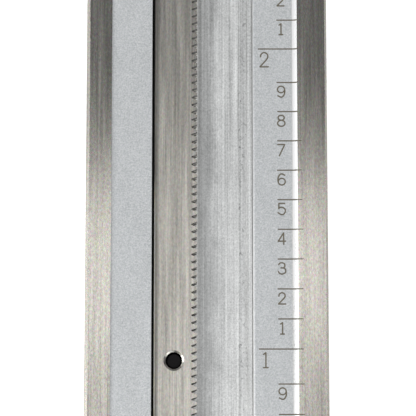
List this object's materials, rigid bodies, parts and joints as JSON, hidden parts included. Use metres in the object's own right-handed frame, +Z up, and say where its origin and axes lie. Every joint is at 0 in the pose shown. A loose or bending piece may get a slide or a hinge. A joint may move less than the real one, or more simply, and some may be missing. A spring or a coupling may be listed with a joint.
{
  "type": "t square",
  "caption": "Precision drafting T-square: inch-graduated steel blade with a fine rack, and a stock that slides along it on a knurled pinion knob and clamps.",
  "frame": {"origin": "where the blade's centreline crosses the plane of the guide face, at the blade's underside and the guide face's top edge", "axes": "+Y along the blade away from the head, +Z up out of the graduated face, +X across the blade towards the graduated band"},
  "size_m": [0.1524, 0.376, 0.0305],
  "materials": {
    "ground_steel": "ground lands, satin chrome scale bands",
    "rack_steel": "ground, fine brushing along its length",
    "satin_chrome": "satin chrome plate",
    "stock_steel": "satin chrome with a ground guide face",
    "brass": "turned brass",
    "bronze": "turned bearing bronze",
    "black_oxide": "black oxide, lightly oiled",
    "bright_screw": "bright turned steel",
    "nylon": "natural nylon",
    "hardened_steel": "hardened and ground"
  },
  "bodies": {
    "blade": {"blade": "ground_steel", "rack": "rack_steel", "rack_screws": "black_oxide", "tail_stop": "satin_chrome", "tail_stop_screws": "bright_screw", "tip_stop_screws": "bright_screw"},
    "head": {"stock": "stock_steel", "carriage": "satin_chrome", "carriage_screws": "black_oxide", "dowel_pins": "hardened_steel", "gib": "brass", "gib_screws": "black_oxide", "pinion_bush": "bronze", "index_plate": "ground_steel", "index_screws": "bright_screw", "lock_pad": "brass"},
    "pinion": {"pinion": "hardened_steel", "thrust_washer": "nylon", "index_collar": "satin_chrome", "pinion_knob": "satin_chrome", "knob_set_screw": "black_oxide"},
    "lock": {"lock_stud": "bright_screw", "lock_knob": "satin_chrome"}
  },
  "joints": [
    {"name": "head_slide", "type": "slide", "parent": "blade", "child": "head", "axis": [0, 1, 0], "range_m": [0, 0.3048]},
    {"name": "pinion_turn", "type": "hinge", "parent": "head", "child": "pinion", "pos_m": [0.00063, -0.01084, 0], "axis": [0, 0, 1], "continuous": true},
    {"name": "lock_turn", "type": "hinge", "parent": "head", "child": "lock", "pos_m": [0.0088, -0.026, 0], "axis": [0, 0, 1], "range_deg": [0, 120]}
  ],
  "couplings": [
    {"joint": "pinion_turn", "follows": "head_slide", "rad_per_m": 618.42}
  ]
}
